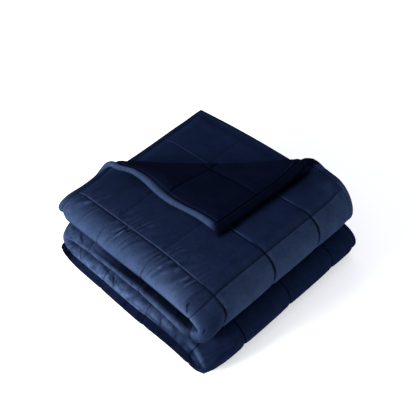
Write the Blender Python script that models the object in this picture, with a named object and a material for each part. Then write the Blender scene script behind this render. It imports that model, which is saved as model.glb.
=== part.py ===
"""A weighted blanket, quilted in squares: doubled across its width, folded to and fro in four, and laid
down, with one corner of its top layer turned back. One solid, in metres, +Z up, on the centre of its base.

The flat cloth is a grid in u, across it from hem to hem, and v, along it. place() gives each point of it
its place in the pile: fold_path() is the to-and-fro fold seen from the side, doubled() wraps the second
half of the width under the first, drawn() and settled() pull the pile out of square as cloth lies, and
turned_back() rolls the free corner over. Until the last step, X and Y are measured from that corner."""

from collections import namedtuple
from math import pi, sqrt, tau

import bmesh
import bpy
import numpy as np

# The flat cloth.
PITCH = 0.122  # side of one quilted square
SQUARES_ACROSS = 7
SQUARES_ALONG = 14
SEAM_PINCH = 0.26  # share of its loft that the cloth loses at a seam
STRETCHED = 0.65  # share of that which is pulled out again over the side fold
STRETCHED_REACH = 0.080  # across the cloth
HEM_THICKNESS = 0.0105
HEM_TAPER = 0.030  # how far from a hem the filling starts to thin out
LAST_HEM_FULL = 0.015  # how much nearer to its edge the last hem is filled
HEM_ROUND = 0.0035  # how far the round of a hem stands out

# The pile.
CORNER = (-0.1993, 0.2122)  # where the corner that is turned back would lie, from the centre of the base
LAYER_GAP = 0.0020  # air between the two layers of the doubled cloth
PRESSED = 0.0025  # how far the underside is pressed flat on the surface
SIDE_SLOPE = 0.8  # how much further a side fold reaches than a round one, for half its band's height

# The four bands of the pile, from the free end on top: the stretch of cloth in each, where it lies
# along X, the heights of its underside and top, and how far its side fold reaches across at both ends.
Band = namedtuple("Band", "start end x_start x_end low high reach_start reach_end")
BANDS = (
    Band(0.000, 0.340, 0.000, 0.351, 0.1160, 0.1660, 0.416, 0.420),
    Band(0.512, 0.775, 0.351, 0.048, 0.0745, 0.1145, 0.418, 0.415),
    Band(0.870, 1.209, 0.048, 0.366, 0.0380, 0.0730, 0.420, 0.430),
    Band(1.346, SQUARES_ALONG * PITCH, 0.366, 0.005, 0.0000, 0.0365, 0.430, 0.416),
)
# The turn after each band: which way it faces, and how far its two faces reach beyond the bands' ends.
Turn = namedtuple("Turn", "side outer inner")
TURNS = (Turn(1, 0.055, 0.024), Turn(-1, 0.049, 0.012), Turn(1, 0.052, 0.014))

# The corner that is turned back: a roll along a diagonal of the squares.
ROLL_LINE = 0.2265  # from the corner to where the roll starts, square to the diagonal
ROLL_RADIUS = 0.0155  # of the middle of the cloth, along the pile
TURNED_THINNING = 0.42  # share of its loft that the cloth loses in the roll and past it
THINNING_SPREAD = 0.060  # over what stretch it loses it, before the roll
ROLL_SKEW = 0.04  # sideways drift of the turned corner, for its length past the roll
ROLL_CUTS = 8
REST_GAP = 0.0020  # between the turned corner and the layer that it lies on
# Each end of the roll stands open: how high, how far in from the hem, and how far along the turned corner.
Opening = namedtuple("Opening", "rise inward onward")
LEFT_OPENING = Opening(0.012, 0.085, 0.125)
RIGHT_OPENING = Opening(0.015, 0.090, 0.050)
HEM_PULL = 0.0080  # how far the turned corner's left hem is pulled in
HEM_WAVE = 0.0035  # and how far it waves to either side of that
HEM_WAVELENGTH = 0.110
HEM_WAVE_START = 0.012
HEM_PULL_OVER = 0.030
HEM_LIFT = 0.009  # how far the right-hand hem stands up where the roll runs out through it
HEM_LIFT_REACH = 0.120

# How the pile is drawn out of square: by how much, from how far across or along, and over what stretch.
Draw = namedtuple("Draw", "by start over")
HEM_RAISED = Draw(0.010, 0.265, 0.045)  # the right-hand hem stands up where the roll leaves it
HEM_LOWERED_OVER = 0.090  # and comes down again before the fold
HEM_RAISED_ACROSS = 0.050
HEM_RAISED_OUT = 0.6  # and out, as a share of that
UNDER_ROLL = Draw(0.006, -0.100, 0.200)  # the far hem of the layer below stands up towards the roll
UNDER_ROLL_END = 0.310
FREE_END = Draw(0.020, 0.220, 0.140)  # the free end leans towards its fold, at its near corner
UNDER_CORNER = Draw(0.015, 0.0, 0.250)  # the layer under the turned corner stands out
SECOND_TURN = Draw(0.012, 0.340, 0.080)  # the near end of the second turn leans in
SECOND_TURN_DROP = Draw(0.008, 0.300, 0.100)  # and sinks
SECOND_TURN_REACH = 0.160  # along the cloth
THIRD_TURN = Draw(-0.007, 0.370, 0.060)  # the near end of the third turn leans in too
LAST_HEM = Draw(0.008, 1.660, 0.048)  # the last hem is held up by the filling behind it
RIGHT_FOLDS = Draw(1.0, 0.220, 0.140)  # towards the right-hand folds the squares drift across:
UPPER_ACROSS = (-0.500, -0.366, -0.122, 0.0)  # in the upper two bands, from here
UPPER_DRAWN = (-0.500, -0.371, -0.122, -0.026)  # to here
LOWER_ACROSS = (-0.440, -0.366, -0.244, -0.122, 0.0)  # and in the lower two
LOWER_DRAWN = (-0.440, -0.334, -0.212, -0.086, -0.010)
FACE_LEAN_ACROSS = (-0.480, -0.366, -0.244, -0.122, 0.0)  # down the first turn's face, from here
FACE_LEAN = (0.0, 0.0055, 0.0090, 0.0130, 0.0)  # they lean this much towards the near corner
FACE_LEAN_HEIGHT = 0.090
NEAR_WALL = Draw(0.012, 0.200, 0.200)  # towards the near corner the side of the first band is drawn up,
NEAR_WALL_START, NEAR_WALL_OVER = 0.300, 0.080  # from this far across
WALL_LIFTED_AT = (0.092, 0.116, 0.166)  # none, most and none, at these heights
TUCK = Draw(0.015, 0.030, 0.200)  # the upper layer of the second band is tucked in at its side fold
TUCK_ROUND = 0.050
NEAR_CORNER = (0.405, -0.425)
NEAR_SINK = 0.014  # how far the lower bands sink there
NEAR_SUNK = 0.66  # up to this share of the pile's height
NEAR_DROOP = 0.019  # and how far the top does
NEAR_SINK_SPREAD = 0.065
NEAR_POINT = 0.004  # how far the foot of the pile is drawn out there
NEAR_POINT_SPREAD = 0.022

# Where the flat cloth has points: shares of a square, and steps round a fold.
SQUARE_STEPS = (0.0, 0.15, 0.5, 0.85)
TURN_STEPS = 9
SIDE_STEPS = 8

WIDTH = SQUARES_ACROSS * PITCH
LENGTH = SQUARES_ALONG * PITCH
ROLL_LENGTH = pi * ROLL_RADIUS
TOP_END = (BANDS[0].end + BANDS[1].start) / 2


def smooth(share):
    """0 to 1 with a soft start and end."""
    share = np.clip(share, 0.0, 1.0)
    return share * share * (3.0 - 2.0 * share)


def drawing(draw, distance):
    """How much of a draw is felt at this distance."""
    return draw.by * smooth((distance - draw.start) / draw.over)


def fold_path(v):
    """The doubled cloth seen from the side, at v along it: the X and Z of its first face, which is
    on top of the first band, and of its second face. Bands are level; a turn's faces are half ellipses."""
    first = np.zeros(v.shape + (2,))
    second = np.zeros(v.shape + (2,))
    for number, band in enumerate(BANDS):
        upper, lower = (first, second) if number % 2 == 0 else (second, first)
        before = v < band.start if number > 0 else np.zeros(v.shape, bool)
        after = v > band.end if number + 1 < len(BANDS) else np.zeros(v.shape, bool)
        here = ~(before | after)
        x = band.x_start + (v[here] - band.start) / (band.end - band.start) * (band.x_end - band.x_start)
        upper[here] = np.stack([x, np.full_like(x, band.high)], -1)
        lower[here] = np.stack([x, np.full_like(x, band.low)], -1)
    for number, turn in enumerate(TURNS):
        above, below = BANDS[number], BANDS[number + 1]
        outer, inner = (first, second) if number % 2 == 0 else (second, first)
        here = (v > above.end) & (v < below.start)
        angle = pi * (v[here] - above.end) / (below.start - above.end)
        for face, reach, top, bottom in (
            (outer, turn.outer, above.high, below.low),
            (inner, turn.inner, above.low, below.high),
        ):
            x = above.x_end + turn.side * reach * np.sin(angle)
            z = (top + bottom) / 2 + (top - bottom) / 2 * np.cos(angle)
            face[here] = np.stack([x, z], -1)
    return first, second


def loft(u, v):
    """Shares of the full thickness and of the hem's: less along each seam, and all hem at the hems."""
    def near_seam(distance):
        return 1.0 - np.abs(distance / PITCH - np.round(distance / PITCH)) * 2.0

    stretched = smooth(1.0 - np.abs(u - WIDTH / 2) / STRETCHED_REACH)
    pinch = np.maximum(near_seam(u) ** 4, near_seam(v) ** 4) * (1.0 - STRETCHED * stretched)
    from_hem = np.minimum(np.minimum(u, WIDTH - u), np.minimum(v, LENGTH - v + LAST_HEM_FULL))
    return 1.0 - SEAM_PINCH * pinch, 1.0 - smooth(from_hem / HEM_TAPER)


def doubled(u, v, n, thick, layer):
    """The cloth flat as far as its side fold, then half an ellipse round to the other layer. Between
    the layers' middles and the fold's own middle lies the air, and n * thick goes through the cloth."""
    first, second = fold_path(v)
    middle, half = (first + second) / 2, (first - second) / 2
    depth = np.hypot(half[..., 0], half[..., 1])
    places = [place for band in BANDS for place in (band.start, band.end)]
    reaches = [reach for band in BANDS for reach in (band.reach_start, band.reach_end)]
    nose = np.interp(v, places, reaches) - (1.0 + SIDE_SLOPE) * depth
    inward = np.minimum(u, WIDTH - u)
    angle = pi / 2 * np.clip((inward - nose) / (WIDTH / 2 - nose), 0.0, 1.0)
    radius = layer + n * thick
    height = np.where(u < WIDTH / 2, radius, -radius) * np.cos(angle) / depth
    x = middle[..., 0] + height * half[..., 0]
    z = middle[..., 1] + height * half[..., 1]
    return x, -np.minimum(inward, nose) - (radius + SIDE_SLOPE * depth) * np.sin(angle), z


def drawn(x, y, z, u, v):
    """The pile drawn out of square: its free end, the near end of its second turn, and the drift of
    its squares towards the right-hand folds."""
    first_squares = smooth(1.0 - v / (2 * PITCH))
    under = np.where(u < WIDTH / 2, 0.0, smooth(1.0 + y / UNDER_CORNER.over))
    x = x + first_squares * (drawing(FREE_END, -y) - UNDER_CORNER.by * under)
    second_turn = (BANDS[1].end + BANDS[2].start) / 2
    round_turn = smooth(1.0 - np.abs(v - second_turn) / SECOND_TURN_REACH)
    up_turn = np.clip((z - BANDS[3].high) / (BANDS[1].high - BANDS[3].high), 0.0, 1.0)
    x = x + round_turn * drawing(SECOND_TURN, -y)
    third_turn = (BANDS[2].end + BANDS[3].start) / 2
    x = x + smooth(1.0 - np.abs(v - third_turn) / SECOND_TURN_REACH) * drawing(THIRD_TURN, -y)
    z = z - round_turn * drawing(SECOND_TURN_DROP, -y) * up_turn
    upper = np.interp(y, UPPER_ACROSS, UPPER_DRAWN)
    lower = np.interp(y, LOWER_ACROSS, LOWER_DRAWN)
    in_upper = v < (BANDS[1].start + BANDS[1].end) / 2
    down_face = np.where(in_upper, smooth((BANDS[0].high - z) / FACE_LEAN_HEIGHT), 0.0)
    drift = np.where(in_upper, upper, lower) - y - down_face * np.interp(y, FACE_LEAN_ACROSS, FACE_LEAN)
    under_roll = drawing(UNDER_ROLL, v) * smooth((UNDER_ROLL_END - v) / UNDER_ROLL.over)
    z = z + drawing(LAST_HEM, v) + under_roll * smooth(1.0 - (WIDTH - u) / HEM_RAISED_ACROSS)
    in_wall = np.interp(z, WALL_LIFTED_AT, (0.0, 1.0, 0.0))
    z = z + drawing(NEAR_WALL, x) * smooth((-y - NEAR_WALL_START) / NEAR_WALL_OVER) * in_wall
    round_side = np.sin(pi * np.clip((u - WIDTH / 2) / TUCK_ROUND, 0.0, 1.0)) ** 2
    before_end = smooth((BANDS[2].start - v) / TUCK_ROUND)
    in_second = smooth((v - TOP_END) / (BANDS[1].start - TOP_END)) * before_end
    return x, y + drawing(RIGHT_FOLDS, x) * drift + drawing(TUCK, x) * round_side * in_second, z


def thinned(past):
    """Share of its loft that the cloth keeps, as it nears the roll and past it."""
    return 1.0 - TURNED_THINNING * smooth(1.0 + past / THINNING_SPREAD)


def turned_back(x, y, z, u, v, n, thick, middle, loose, past):
    """The free corner of the top layer, up and over as half an ellipse and then flat on what is below."""
    roll = np.clip(past / ROLL_RADIUS, 0.0, pi)
    beyond = np.maximum(past - ROLL_LENGTH, 0.0)
    below = loose * thinned(-beyond)
    from_roll = np.abs(past - ROLL_LENGTH / 2)
    right_end = smooth(1.0 - (ROLL_LINE - (v - u) / sqrt(2.0)) / RIGHT_OPENING.inward)
    curl = 0.0
    for opening, from_hem in ((LEFT_OPENING, v), (RIGHT_OPENING, u)):
        inward = smooth(1.0 - from_hem / opening.inward)
        curl = curl + opening.rise * inward * smooth(1.0 - beyond / opening.onward)
    rise = (below + REST_GAP + thick + curl) * (1.0 - np.cos(roll)) / 2
    out = (ROLL_RADIUS - n * thick) * np.sin(roll) - beyond - past
    over = past > 0.0
    x = np.where(over, x + (ROLL_SKEW * beyond - out) / sqrt(2.0), x)
    wave = HEM_WAVE * np.sin(tau * (beyond - HEM_WAVE_START) / HEM_WAVELENGTH)
    pulled = (HEM_PULL + wave) * smooth(beyond / HEM_PULL_OVER) * smooth(1.0 - v / PITCH)
    y = np.where(over, y + (ROLL_SKEW * beyond + out) / sqrt(2.0) + pulled, y)
    z = np.where(over, middle + rise + n * thick * np.cos(roll), z)
    z = z + HEM_LIFT * right_end * smooth(1.0 - from_roll / HEM_LIFT_REACH)
    along_hem = drawing(HEM_RAISED, v) * smooth((TOP_END - v) / HEM_LOWERED_OVER)
    raised = along_hem * smooth(1.0 - u / HEM_RAISED_ACROSS)
    return x, y + HEM_RAISED_OUT * raised, z + raised


def settled(x, y, z):
    """The pile sunk at its near corner, pressed flat on the surface, and stood on its centre."""
    z = z - PRESSED
    near = np.hypot(x - NEAR_CORNER[0], y - NEAR_CORNER[1]) / NEAR_SINK_SPREAD
    share = np.clip(z / BANDS[0].high, 0.0, 1.0)
    sink = NEAR_SINK * np.sin(pi * np.minimum(share / NEAR_SUNK, 1.0)) + NEAR_DROOP * share ** 4
    z = z - sink * np.exp(-near ** 2)
    point = NEAR_POINT * (1.0 - share) * np.exp(-(near * NEAR_SINK_SPREAD / NEAR_POINT_SPREAD) ** 2)
    x, y = x + point, y - point
    return np.stack([x + CORNER[0], y + CORNER[1], np.maximum(z, 0.0)], -1)


def place(u, v, n):
    """The cloth's point at u across, v along and n through it: -1 at its inner face, 1 at its outer."""
    first, second = fold_path(v)
    depth = np.hypot(*np.moveaxis(first - second, -1, 0)) / 2
    layer = (depth + LAYER_GAP / 2) / 2
    full, hem = loft(u, v)
    loose = (depth - LAYER_GAP / 2) / 2
    on_top = (u < WIDTH / 2) & (v < TOP_END)
    past = ROLL_LINE - (u + v) / sqrt(2.0)
    kept = np.where(on_top, thinned(past), 1.0)
    thick = kept * loose * full * (1.0 - hem) + HEM_THICKNESS / 2 * hem
    flat = drawn(*doubled(u, v, n, thick, layer), u, v)
    middle = (first + second)[..., 1] / 2 + layer
    rolled = turned_back(*flat, u, v, n, thick, middle, loose, past)
    return settled(*(np.where(on_top, turned, still) for turned, still in zip(rolled, flat)))


def stations(length, folds):
    """Places along one side of the flat cloth: shares of every square, with even steps round each fold."""
    squares = round(length / PITCH)
    places = [PITCH * (square + step) for square in range(squares) for step in SQUARE_STEPS] + [length]
    near = PITCH * SQUARE_STEPS[1] / 2
    for start, end, steps in folds:
        places = [place for place in places if not start - near < place < end + near]
        places += list(np.linspace(start, end, steps + 1))
    return sorted(places)


def flat_cloth():
    """The flat cloth as triangles, its points at (u, v, 0), cut along the roll of the turned corner."""
    nose = BANDS[0].reach_end - (1.0 + SIDE_SLOPE) * (BANDS[0].high - BANDS[0].low) / 2
    across = stations(WIDTH, [(nose, WIDTH - nose, SIDE_STEPS)])
    turns = [(BANDS[i].end, BANDS[i + 1].start, TURN_STEPS) for i in range(len(TURNS))]
    along = stations(LENGTH, turns)
    cloth = bmesh.new()
    rows = [[cloth.verts.new((u, v, 0.0)) for u in across] for v in along]
    for near, far in zip(rows, rows[1:]):
        for a, b, c, d in zip(near, near[1:], far[1:], far):
            cloth.faces.new((a, b, c, d))
    for cut in range(ROLL_CUTS + 1):
        edge = (ROLL_LINE - ROLL_LENGTH * cut / ROLL_CUTS) / sqrt(2.0)
        corner = [face for face in cloth.faces if all(
            vert.co.x < WIDTH / 2 and vert.co.y < TOP_END for vert in face.verts)]
        sides = {side for face in corner for side in face.edges}
        points = {point for face in corner for point in face.verts}
        bmesh.ops.bisect_plane(cloth, geom=[*corner, *sides, *points], dist=0.001,
                               plane_co=(edge, edge, 0), plane_no=(1, 1, 0))
    bmesh.ops.triangulate(cloth, faces=cloth.faces[:])
    cloth.verts.index_update()
    return cloth


def make_blanket():
    """Both faces of the cloth and the rounds of its hems, as one closed mesh."""
    cloth = flat_cloth()
    uv = np.array([vert.co[:2] for vert in cloth.verts])
    triangles = np.array([[vert.index for vert in face.verts] for face in cloth.faces])
    rim = [(loop.vert.index, loop.link_loop_next.vert.index)
           for edge in cloth.edges if edge.is_boundary for loop in edge.link_loops]
    cloth.free()
    count = len(uv)
    outer, inner = (place(uv[:, 0], uv[:, 1], np.full(count, side)) for side in (1.0, -1.0))
    hem = sorted({point for edge in rim for point in edge})
    after = np.isclose(uv[hem], (WIDTH, LENGTH)).astype(float)
    before = np.isclose(uv[hem], 0.0).astype(float)
    out = uv[hem] + HEM_ROUND * (after - before)
    rounds = place(out[:, 0], out[:, 1], np.zeros(len(hem)))
    order = {point: 2 * count + number for number, point in enumerate(hem)}
    faces = triangles.tolist() + (triangles[:, ::-1] + count).tolist()
    for a, b in rim:
        faces += [(b, a, order[a], order[b]), (order[b], order[a], a + count, b + count)]
    mesh = bpy.data.meshes.new("blanket")
    mesh.from_pydata(np.concatenate([outer, inner, rounds]).tolist(), [], faces)
    mesh.shade_smooth()
    mesh.materials.append(navy_velvet())
    blanket = bpy.data.objects.new("blanket", mesh)
    bpy.context.scene.collection.objects.link(blanket)
    return blanket


def navy_velvet():
    """Short-pile polyester, dark navy."""
    material = bpy.data.materials.new("navy_velvet")
    material.use_nodes = True
    shader = material.node_tree.nodes["Principled BSDF"]
    shader.inputs["Base Color"].default_value = (0.012, 0.022, 0.075, 1.0)
    shader.inputs["Roughness"].default_value = 0.85
    shader.inputs["Metallic"].default_value = 0.0
    return material


def clear_scene():
    for thing in list(bpy.data.objects):
        bpy.data.objects.remove(thing)


clear_scene()
make_blanket()
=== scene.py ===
"""A weighted blanket, quilted in squares, folded into a thick stack with one corner turned back. Metres,
+Z up, standing on the floor at Z = 0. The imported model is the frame; the cloth here replaces its solid."""

from collections import namedtuple
from math import pi, radians, sin, cos, sqrt, tau

import bpy
import numpy as np
from mathutils import Matrix, Vector


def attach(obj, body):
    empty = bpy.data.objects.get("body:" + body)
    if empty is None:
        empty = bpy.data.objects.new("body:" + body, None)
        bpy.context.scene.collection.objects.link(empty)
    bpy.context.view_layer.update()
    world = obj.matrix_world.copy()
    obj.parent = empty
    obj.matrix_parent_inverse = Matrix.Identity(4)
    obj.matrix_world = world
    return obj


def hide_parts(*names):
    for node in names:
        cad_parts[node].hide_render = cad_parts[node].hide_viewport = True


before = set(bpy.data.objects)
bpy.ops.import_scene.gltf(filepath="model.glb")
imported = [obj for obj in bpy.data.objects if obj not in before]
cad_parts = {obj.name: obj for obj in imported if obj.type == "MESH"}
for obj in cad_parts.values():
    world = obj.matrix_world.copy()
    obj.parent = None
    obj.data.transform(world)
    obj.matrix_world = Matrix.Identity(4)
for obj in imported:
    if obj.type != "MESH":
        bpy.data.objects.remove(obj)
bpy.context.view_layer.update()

# ---------------------------------------------------------------------------------------------------
# The flat cloth: two layers of velvet with glass beads between them, sewn through in squares and
# hemmed all round. Its points are (u, v): u across it from hem to hem, v along it.
# ---------------------------------------------------------------------------------------------------
PITCH = 0.122  # side of one quilted square
SQUARES_ACROSS, SQUARES_ALONG = 7, 14
WIDTH, LENGTH = SQUARES_ACROSS * PITCH, SQUARES_ALONG * PITCH
MIDDLE = WIDTH / 2  # where the cloth is doubled
PUFF = 0.13  # share of its loft that a square loses from its middle to its seams
VALLEY_DEPTH, VALLEY_WIDTH = 0.0026, 0.0036  # along a seam
SLACK_VALLEY = 0.35  # share of that depth on top of the pile, where the cloth lies slack
TAUT_FROM, TAUT_OVER = -0.040, 0.080  # past the end of the top: where the valley gets its whole depth
STRETCHED, STRETCHED_REACH = 0.65, 0.080  # share of the relief that the doubled edge pulls flat
HEM_THICKNESS = 0.0115
HEM_STITCH = 0.0135  # from the edge to the line of stitches that closes the hem
ROLLED_STITCH = 0.0075  # the same at the free end, whose hem is rolled up tighter
SIDE_STITCH = 0.0110  # and at the two sides
HEM_STITCH_DEPTH, HEM_STITCH_WIDTH = 0.0020, 0.0030
HEM_TAPER = 0.036  # how far from the edge the cloth has its full thickness again
HEM_ROUND = 0.0056  # how far the rounded edge stands out
LAST_HEM_FULL = 0.015  # how much nearer to its edge the last hem is filled


def smooth(share):
    """0 to 1 with a soft start and end: 3 s^2 - 2 s^3."""
    share = np.clip(share, 0.0, 1.0)
    return share * share * (3.0 - 2.0 * share)


def bell(distance, width):
    """1 at no distance, falling away over a width: exp(-(d / w)^2)."""
    return np.exp(-(distance / width) ** 2)


def to_seam(along):
    """Distance to the nearest seam of the squares."""
    return np.abs(along - PITCH * np.round(along / PITCH))


def half_thickness(u, v, loose):
    """Half of the cloth's thickness: a pillow in each square, a valley along each seam, and at a hem the
    rolled edge, then its line of stitches, then the taper to the filling."""
    near = 1.0 - 2.0 * np.minimum(to_seam(u), to_seam(v)) / PITCH
    relief = 1.0 - STRETCHED * smooth(1.0 - np.abs(u - MIDDLE) / STRETCHED_REACH)
    pillow = loose * (1.0 - PUFF * relief * near ** 3)
    taut = smooth((v - BANDS[0].end - TAUT_FROM) / TAUT_OVER)
    depth = relief * (SLACK_VALLEY + (1.0 - SLACK_VALLEY) * taut) * VALLEY_DEPTH
    valley = depth * np.maximum(bell(to_seam(u), VALLEY_WIDTH), bell(to_seam(v), VALLEY_WIDTH))
    from_side = np.minimum(u, WIDTH - u) + HEM_STITCH - SIDE_STITCH
    from_end = np.minimum(v + HEM_STITCH - ROLLED_STITCH, LENGTH - v + LAST_HEM_FULL)
    edge = np.minimum(from_side, from_end)
    filled = smooth((edge - HEM_STITCH) / (HEM_TAPER - HEM_STITCH))
    rolled = HEM_THICKNESS / 2 - HEM_STITCH_DEPTH * bell(edge - HEM_STITCH, HEM_STITCH_WIDTH)
    return rolled + (pillow - valley - rolled) * filled


# ---------------------------------------------------------------------------------------------------
# The fold: the cloth doubled across its width, and folded to and fro in four bands with three turns.
# Until it is settled, X and Y are 0 where the corner that is turned back would lie.
# ---------------------------------------------------------------------------------------------------
LAYER_GAP = 0.0020
SIDE_SLOPE = 0.8  # how far the doubled edge bulges, for each metre of the band's depth
Band = namedtuple("Band", "start end x_start x_end low high reach_start reach_end")
BANDS = (
    Band(0.000, 0.340, 0.000, 0.351, 0.1160, 0.1660, 0.416, 0.420),
    Band(0.512, 0.775, 0.351, 0.048, 0.0745, 0.1145, 0.418, 0.415),
    Band(0.870, 1.209, 0.048, 0.366, 0.0380, 0.0730, 0.420, 0.430),
    Band(1.346, LENGTH, 0.366, 0.005, 0.0000, 0.0365, 0.430, 0.416),
)
Turn = namedtuple("Turn", "side outer inner")  # towards +X or -X, and how far each face reaches out
TURNS = (Turn(1, 0.055, 0.024), Turn(-1, 0.049, 0.012), Turn(1, 0.052, 0.014))
TOP_END = (BANDS[0].end + BANDS[1].start) / 2


def fold_path(v):
    """The doubled cloth seen from the side, at v along it: X and Z of its first face, on top of the first
    band, and of its second. Bands are level, and a turn's faces are half ellipses."""
    first, second = np.zeros(v.shape + (2,)), np.zeros(v.shape + (2,))
    for number, band in enumerate(BANDS):
        upper, lower = (first, second) if number % 2 == 0 else (second, first)
        before = v < band.start if number > 0 else np.zeros(v.shape, bool)
        after = v > band.end if number + 1 < len(BANDS) else np.zeros(v.shape, bool)
        here = ~(before | after)
        x = band.x_start + (v[here] - band.start) / (band.end - band.start) * (band.x_end - band.x_start)
        upper[here] = np.stack([x, np.full_like(x, band.high)], -1)
        lower[here] = np.stack([x, np.full_like(x, band.low)], -1)
    for number, turn in enumerate(TURNS):
        above, below = BANDS[number], BANDS[number + 1]
        outer, inner = (first, second) if number % 2 == 0 else (second, first)
        here = (v > above.end) & (v < below.start)
        angle = pi * (v[here] - above.end) / (below.start - above.end)
        for face, reach, top, bottom in (
            (outer, turn.outer, above.high, below.low),
            (inner, turn.inner, above.low, below.high),
        ):
            x = above.x_end + turn.side * reach * np.sin(angle)
            z = (top + bottom) / 2 + (top - bottom) / 2 * np.cos(angle)
            face[here] = np.stack([x, z], -1)
    return first, second


def doubled(u, v, n, thick, layer):
    """The cloth flat as far as its side fold, then half an ellipse round to the other layer."""
    first, second = fold_path(v)
    middle, half = (first + second) / 2, (first - second) / 2
    depth = np.hypot(half[..., 0], half[..., 1])
    at = [edge for band in BANDS for edge in (band.start, band.end)]
    reaches = [reach for band in BANDS for reach in (band.reach_start, band.reach_end)]
    nose = np.interp(v, at, reaches) - (1.0 + SIDE_SLOPE) * depth
    inward = np.minimum(u, WIDTH - u)
    angle = pi / 2 * np.clip((inward - nose) / (MIDDLE - nose), 0.0, 1.0)
    radius = layer + n * thick
    height = np.where(u < MIDDLE, radius, -radius) * np.cos(angle) / depth
    x = middle[..., 0] + height * half[..., 0]
    z = middle[..., 1] + height * half[..., 1]
    return x, -np.minimum(inward, nose) - (radius + SIDE_SLOPE * depth) * np.sin(angle), z


# ---------------------------------------------------------------------------------------------------
# The pile drawn out of square, as it was folded by hand: its free end, its turns, the near wall and the
# places of its squares from layer to layer.
# ---------------------------------------------------------------------------------------------------
Onset = namedtuple("Onset", "by start over")  # how much, from where, and over what stretch it sets in
FREE_END = Onset(0.020, 0.220, 0.140)  # the top layer's, drawn in towards the near side
UNDER_CORNER = Onset(0.015, 0.0, 0.250)  # the second layer's free corner
SECOND_TURN = Onset(0.012, 0.340, 0.080)  # its near end, drawn in and lowered
SECOND_TURN_DROP = Onset(0.008, 0.300, 0.100)
THIRD_TURN = Onset(-0.007, 0.370, 0.060)  # and the same, drawn in
TURN_REACH = 0.160  # how far along the cloth from a turn that is felt
LAST_HEM = Onset(0.008, 1.660, 0.048)  # raised off the floor
UNDER_ROLL, UNDER_ROLL_END = Onset(0.006, -0.100, 0.200), 0.310  # the second layer's far hem
RIGHT_FOLDS = Onset(1.0, 0.220, 0.140)  # from what X on the squares drift
# Where the seams lie on those folds, by where they lay before: on the first turn, and below it. Down the
# face of the first turn they lean further.
UPPER_ACROSS = (-0.500, -0.366, -0.122, 0.0)
UPPER_DRAWN = (-0.500, -0.371, -0.122, -0.026)
LOWER_ACROSS = (-0.440, -0.366, -0.244, -0.122, 0.0)
LOWER_DRAWN = (-0.440, -0.334, -0.212, -0.086, -0.010)
FACE_LEAN_ACROSS = (-0.480, -0.366, -0.244, -0.122, 0.0)
FACE_LEAN = (0.0, 0.0055, 0.0090, 0.0130, 0.0)
FACE_LEAN_HEIGHT = 0.090
NEAR_WALL = Onset(0.012, 0.200, 0.200)  # lifted a little towards +X
NEAR_WALL_START, NEAR_WALL_OVER = 0.300, 0.080
WALL_LIFTED_AT = (0.092, 0.116, 0.166)  # from this height to that one, most in between
TUCK = Onset(0.015, 0.030, 0.200)  # the second band's edge, pushed in
TUCK_ROUND = 0.050
HEM_RAISED = Onset(0.010, 0.265, 0.045)  # the top layer's far hem
HEM_RAISED_ACROSS, HEM_RAISED_OUT, HEM_LOWERED_OVER = 0.050, 0.6, 0.090


def felt(onset, distance):
    """How much of an onset is felt at this distance: its whole times a soft 0 to 1 over its stretch."""
    return onset.by * smooth((distance - onset.start) / onset.over)


def drawn(x, y, z, u, v):
    """The pile drawn out of square: its free end, the near end of its turns, its far and last hems, the
    near wall, and the drift of its squares towards the right-hand folds."""
    first_squares = smooth(1.0 - v / (2 * PITCH))
    under = np.where(u < MIDDLE, 0.0, smooth(1.0 + y / UNDER_CORNER.over))
    x = x + first_squares * (felt(FREE_END, -y) - UNDER_CORNER.by * under)
    second_turn = (BANDS[1].end + BANDS[2].start) / 2
    round_turn = smooth(1.0 - np.abs(v - second_turn) / TURN_REACH)
    up_turn = np.clip((z - BANDS[3].high) / (BANDS[1].high - BANDS[3].high), 0.0, 1.0)
    x = x + round_turn * felt(SECOND_TURN, -y)
    third_turn = (BANDS[2].end + BANDS[3].start) / 2
    x = x + smooth(1.0 - np.abs(v - third_turn) / TURN_REACH) * felt(THIRD_TURN, -y)
    z = z - round_turn * felt(SECOND_TURN_DROP, -y) * up_turn
    upper = np.interp(y, UPPER_ACROSS, UPPER_DRAWN)
    lower = np.interp(y, LOWER_ACROSS, LOWER_DRAWN)
    in_upper = v < (BANDS[1].start + BANDS[1].end) / 2
    down_face = np.where(in_upper, smooth((BANDS[0].high - z) / FACE_LEAN_HEIGHT), 0.0)
    drift = np.where(in_upper, upper, lower) - y - down_face * np.interp(y, FACE_LEAN_ACROSS, FACE_LEAN)
    under_roll = felt(UNDER_ROLL, v) * smooth((UNDER_ROLL_END - v) / UNDER_ROLL.over)
    z = z + felt(LAST_HEM, v) + under_roll * smooth(1.0 - (WIDTH - u) / HEM_RAISED_ACROSS)
    in_wall = np.interp(z, WALL_LIFTED_AT, (0.0, 1.0, 0.0))
    z = z + felt(NEAR_WALL, x) * smooth((-y - NEAR_WALL_START) / NEAR_WALL_OVER) * in_wall
    round_side = np.sin(pi * np.clip((u - MIDDLE) / TUCK_ROUND, 0.0, 1.0)) ** 2
    in_second = smooth((v - TOP_END) / (BANDS[1].start - TOP_END))
    in_second = in_second * smooth((BANDS[2].start - v) / TUCK_ROUND)
    return x, y + felt(RIGHT_FOLDS, x) * drift + felt(TUCK, x) * round_side * in_second, z


# ---------------------------------------------------------------------------------------------------
# The corner that is turned back: a roll along a diagonal of the squares, open at both ends, then the
# cloth's reverse lying flat on the top.
# ---------------------------------------------------------------------------------------------------
ROLL_LINE = 0.2265  # from the corner to the diagonal that it is rolled along
TURNED_SIDE = sqrt(2.0) * ROLL_LINE  # as far as this along each of the corner's two hems
ROLL_RADIUS = 0.0155
ROLL_LENGTH = pi * ROLL_RADIUS
ROLL_SKEW = 0.04  # how far the corner slides sideways, for each metre past the roll
REST_GAP = 0.0020  # between the turned corner and what it lies on
TURNED_THINNING, THINNING_SPREAD = 0.42, 0.060  # how much thinner it lies, and from how far
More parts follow.
